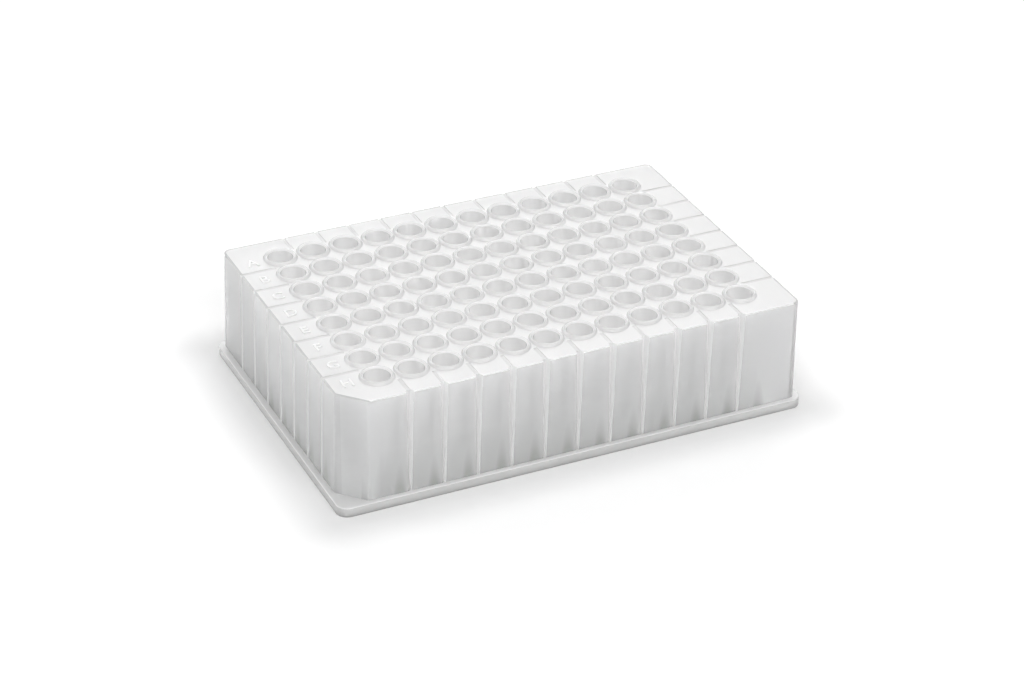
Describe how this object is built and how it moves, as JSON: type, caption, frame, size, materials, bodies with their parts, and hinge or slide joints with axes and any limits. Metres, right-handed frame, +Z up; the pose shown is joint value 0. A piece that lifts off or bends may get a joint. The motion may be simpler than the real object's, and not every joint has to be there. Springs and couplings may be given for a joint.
{
  "type": "deep well plate",
  "caption": "Deep well plate of translucent plastic: a grid of round-bottomed wells hangs from a deck inside a walled body with a flanged foot.",
  "frame": {"origin": "centre of the footprint, on the surface that the foot stands on", "axes": "+X from column 1 to column 12, +Y from row H to row A, +Z up, out of the wells' mouths"},
  "size_m": [0.1278, 0.0854, 0.0311],
  "materials": {
    "natural_plastic": "satin, milky and translucent, undyed polypropylene"
  },
  "bodies": {
    "root": {"well_plate": "natural_plastic"}
  },
  "joints": []
}
